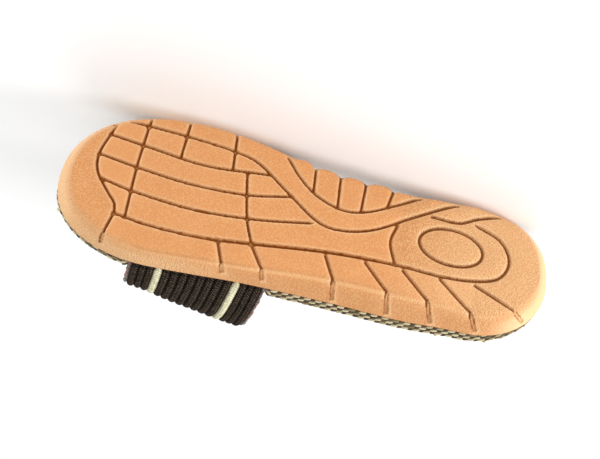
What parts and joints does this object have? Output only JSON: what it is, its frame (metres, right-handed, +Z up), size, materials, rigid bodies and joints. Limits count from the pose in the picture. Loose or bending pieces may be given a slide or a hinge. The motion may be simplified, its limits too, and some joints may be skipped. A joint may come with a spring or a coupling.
{
  "type": "woven slide sandal",
  "caption": "Right-foot slide sandal lying on its inner side: moulded foam outsole with a grooved tread, woven footbed and a wide corded strap.",
  "frame": {"origin": "on the floor under the middle of the bounding box, with the sandal lying on its inner side", "axes": "+X from heel to toe, +Z up towards the outer edge of the sole, tread facing -Y and a little up, strap towards +Y"},
  "size_m": [0.2696, 0.072, 0.094],
  "materials": {
    "moulded_foam": "satin apricot foam with a fine pebble grain",
    "woven_footbed": "coarse plaited yarn in cream, olive and brown",
    "corded_ribbon": "near-black brown braided cords with cream cords between"
  },
  "bodies": {
    "root": {"outsole": "moulded_foam", "insole": "woven_footbed", "strap": "corded_ribbon"}
  },
  "joints": []
}
